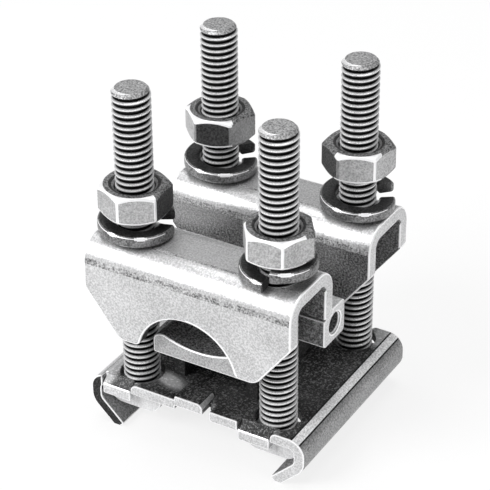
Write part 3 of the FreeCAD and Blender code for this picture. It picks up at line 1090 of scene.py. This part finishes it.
def toneNut(obj, name, x, y):
    # painted light and shade: each flat and part of the chamfer gets the lit or shaded tone it
    # has from the front
    n = nut
    for finish in ("nutHalfShade", "nutFullShade", "springTop"):
        obj.data.materials.append(made[finish])
    litFrom, litTo = n["lit"][name]
    for face in obj.data.polygons:
        way = math.degrees(math.atan2(face.normal.y, face.normal.x)) % 360
        spot = face.center / mm - Vector((x, y, 0))
        side = math.degrees(math.atan2(spot.y, spot.x)) % 360
        onEdge = isPainted(obj, face, "edgeHighlight")
        shadedCorners = abs(face.normal.z) < 0.2 and any(
            abs(way - corner) < n["shadeReach"] for corner in n["shadedCorners"].get(name, ())
        )
        if abs(face.normal.z) < 0.1 and face.area > n["flatArea"] * mm * mm:
            for angle, tone in n["shadedFlats"][name].items():
                if abs((way - angle + 180) % 360 - 180) < n["toneReach"]:
                    paint(obj, face, tone)
        # painted shade on the countersink's edge
        elif onEdge and spot.xy.length < n["sink"] + 0.5:
            paint(obj, face, "springTop")
        elif shadedCorners:
            paint(obj, face, "nutHalfShade")
        elif onEdge and not litFrom < side < litTo:
            paint(obj, face, "nutTopShade")


nutMaster = makeNut()
for name, (x, y) in corners.items():
    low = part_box("nut_" + name)[0].z / mm
    piece = twin(nutMaster, "nut" + name, nut["turn"][name] - 30, (x, y, low))
    toneNut(piece, name, x, y)
    hand(piece, "nut_" + name, "nut_" + name)
bpy.data.objects.remove(nutMaster)
print("nuts done")


spring = dict(
    outer=10.0, inner=5.7, thick=3.0, rise=3.4, turn=348, corner=0.8, steps=88,
    lit=(215, 350), litSlope=(0.55, 0.7), sideTo=0.93,
    glints=((255, 272), (298, 320)), glintSlope=(0.1, 0.95), glintTrim=4,
    gap={"front_left": 25, "front_right": -80, "back_left": 45, "back_right": 40},
)


def makeSpring():
    s = spring
    middle = (s["outer"] + s["inner"]) / 2
    bpy.ops.object.select_all(action="DESELECT")
    bpy.ops.mesh.primitive_plane_add(
        size=1, location=(middle * mm, 0, (s["rise"] + s["thick"] / 2) * mm),
        rotation=(math.radians(90), 0, 0),
    )
    obj = bpy.context.object
    obj.scale = ((s["outer"] - s["inner"]) * mm, s["thick"] * mm, 1)
    settle(obj)
    selectAll(obj, "VERT")
    bpy.ops.mesh.bevel(offset=s["corner"] * mm, segments=6, affect="VERTICES")
    bpy.ops.mesh.select_all(action="SELECT")
    bpy.ops.mesh.delete(type="ONLY_FACE")
    doneEditing()
    finishWith(
        obj, "SCREW", axis="Z", angle=math.radians(s["turn"]), screw_offset=-s["rise"] * mm,
        iterations=1, steps=s["steps"], render_steps=s["steps"], use_normal_calculate=True,
    )
    # flat cut ends
    edit(obj, "EDGE")
    bpy.ops.mesh.select_non_manifold()
    bpy.ops.mesh.fill()
    bpy.ops.mesh.select_all(action="SELECT")
    bpy.ops.mesh.normals_make_consistent(inside=False)
    doneEditing()
    dress(obj, "springTop", "springLitSide", "edgeHighlight")
    smooth(obj, 40)
    return obj


def toneSpring(obj, x, y):
    # painted light: the outer side is lighter, and a painted highlight line and glints lie on
    # its top edge in front
    s = spring
    for face in obj.data.polygons:
        up = face.normal.z
        spot = face.center.xy / mm - Vector((x, y))
        side = math.degrees(math.atan2(spot.y, spot.x)) % 360
        outer = face.normal.xy.dot(spot) > 0 and spot.length > s["outer"] - 1
        line = s["litSlope"][0] < up < s["litSlope"][1] and s["lit"][0] < side < s["lit"][1]
        trim = 0 if partly < up < mostly else s["glintTrim"]
        glint = s["glintSlope"][0] < up < s["glintSlope"][1] and any(
            low + trim < side < high - trim for low, high in s["glints"]
        )
        if outer and (line or glint):
            paint(obj, face, "edgeHighlight")
        elif outer and up < s["sideTo"]:
            paint(obj, face, "springLitSide")


springMaster = makeSpring()
for name, (x, y) in corners.items():
    row = name.split("_")[0]
    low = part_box("spring_washer_" + name)[0].z / mm
    turn = spring["gap"][name] + (360 - spring["turn"]) / 2
    piece = twin(springMaster, "spring" + name, turn, (x, y, low))
    toneSpring(piece, x, y)
    hand(piece, "spring_washer_" + name, row + "_clamp")
bpy.data.objects.remove(springMaster)
print("spring washers done")


room = dict(
    floorSize=4, floorDrop=0.0002, floorTone=0.9, floorRough=0.9, floorGlow=0.8,
    airTone=0.8, airStrength=0.38,
    # name: place, size, watts
    lamps={
        "keyBox": ((-0.45, -0.75, 0.70), 0.5, 9.5),
        "topBox": ((-0.1, 0.15, 1.0), 0.7, 5.0),
        "sideBox": ((0.9, -0.1, 0.35), 0.4, 2.2),
    },
    lampAim=(0, 0, 0.05),
)


def makeFloor():
    # white to the camera and in the metal, but it still keeps the shadow
    r = room
    bpy.ops.object.select_all(action="DESELECT")
    bpy.ops.mesh.primitive_plane_add(size=r["floorSize"], location=(0, 0, -r["floorDrop"]))
    floor = bpy.context.object
    floor.name = "floor"
    material = bpy.data.materials.new("paleFloor")
    material.use_nodes = True
    tree = material.node_tree
    shader = tree.nodes["Principled BSDF"]
    shader.inputs["Base Color"].default_value = (r["floorTone"],) * 3 + (1,)
    shader.inputs["Roughness"].default_value = r["floorRough"]
    glow = node(tree, "ShaderNodeEmission", (0, -300))
    rays = node(tree, "ShaderNodeLightPath", (-600, 300))
    seen = node(tree, "ShaderNodeMath", (-400, 300), operation="MAXIMUM")
    seenToo = node(tree, "ShaderNodeMath", (-200, 300), operation="MAXIMUM")
    share = node(tree, "ShaderNodeMath", (0, 300), operation="MULTIPLY")
    share.inputs[1].default_value = r["floorGlow"]
    mix = node(tree, "ShaderNodeMixShader", (250, 0))
    link = tree.links.new
    link(rays.outputs["Is Camera Ray"], seen.inputs[0])
    link(rays.outputs["Is Glossy Ray"], seen.inputs[1])
    link(seen.outputs[0], seenToo.inputs[0])
    link(rays.outputs["Is Transmission Ray"], seenToo.inputs[1])
    link(seenToo.outputs[0], share.inputs[0])
    link(share.outputs[0], mix.inputs[0])
    link(shader.outputs[0], mix.inputs[1])
    link(glow.outputs[0], mix.inputs[2])
    link(mix.outputs[0], tree.nodes["Material Output"].inputs["Surface"])
    floor.data.materials.append(material)


def makeLight():
    for name, (place, size, watts) in room["lamps"].items():
        light = bpy.data.lights.new(name, "AREA")
        light.size = size
        light.energy = watts
        obj = bpy.data.objects.new(name, light)
        bpy.context.scene.collection.objects.link(obj)
        obj.location = place
        aim = Vector(room["lampAim"]) - Vector(place)
        obj.rotation_euler = aim.to_track_quat("-Z", "Y").to_euler()
    world = bpy.data.worlds.new("paleRoom")
    bpy.context.scene.world = world
    world.use_nodes = True
    backing = world.node_tree.nodes["Background"]
    backing.inputs["Color"].default_value = (room["airTone"],) * 3 + (1,)
    backing.inputs["Strength"].default_value = room["airStrength"]


view = dict(
    azimuth=30.68, elevation=31.46, roll=-0.5, distance=508.2, aim=(0, 0, 50),
    # the photo's 490 pixels see as a lens of 1935 pixels does
    focal=1935, frame=490, sensor=36, right=-0.97, up=-0.39, clipStart=20,
)


def makeCamera():
    v = view
    azimuth, elevation = math.radians(v["azimuth"]), math.radians(v["elevation"])
    back = Vector((
        math.sin(azimuth) * math.cos(elevation),
        -math.cos(azimuth) * math.cos(elevation),
        math.sin(elevation),
    ))
    right = (-back).cross(Vector((0, 0, 1))).normalized()
    up = right.cross(-back)
    roll = math.radians(v["roll"])
    rolledRight = right * math.cos(roll) + up * math.sin(roll)
    rolledUp = up * math.cos(roll) - right * math.sin(roll)
    place = Vector(v["aim"]) + back * v["distance"]
    place += rolledRight * v["right"]
    place += rolledUp * v["up"]
    lens = bpy.data.cameras.new("view")
    lens.lens = v["focal"] / v["frame"] * v["sensor"]
    lens.sensor_width = v["sensor"]
    lens.clip_start = v["clipStart"] * mm
    camera = bpy.data.objects.new("view", lens)
    bpy.context.scene.collection.objects.link(camera)
    turn = Matrix((rolledRight, rolledUp, back)).transposed().to_4x4()
    camera.matrix_world = Matrix.Translation(place * mm) @ turn
    bpy.context.scene.camera = camera


makeFloor()
makeLight()
makeCamera()
bpy.context.scene.view_settings.view_transform = "Standard"
print("stage done")
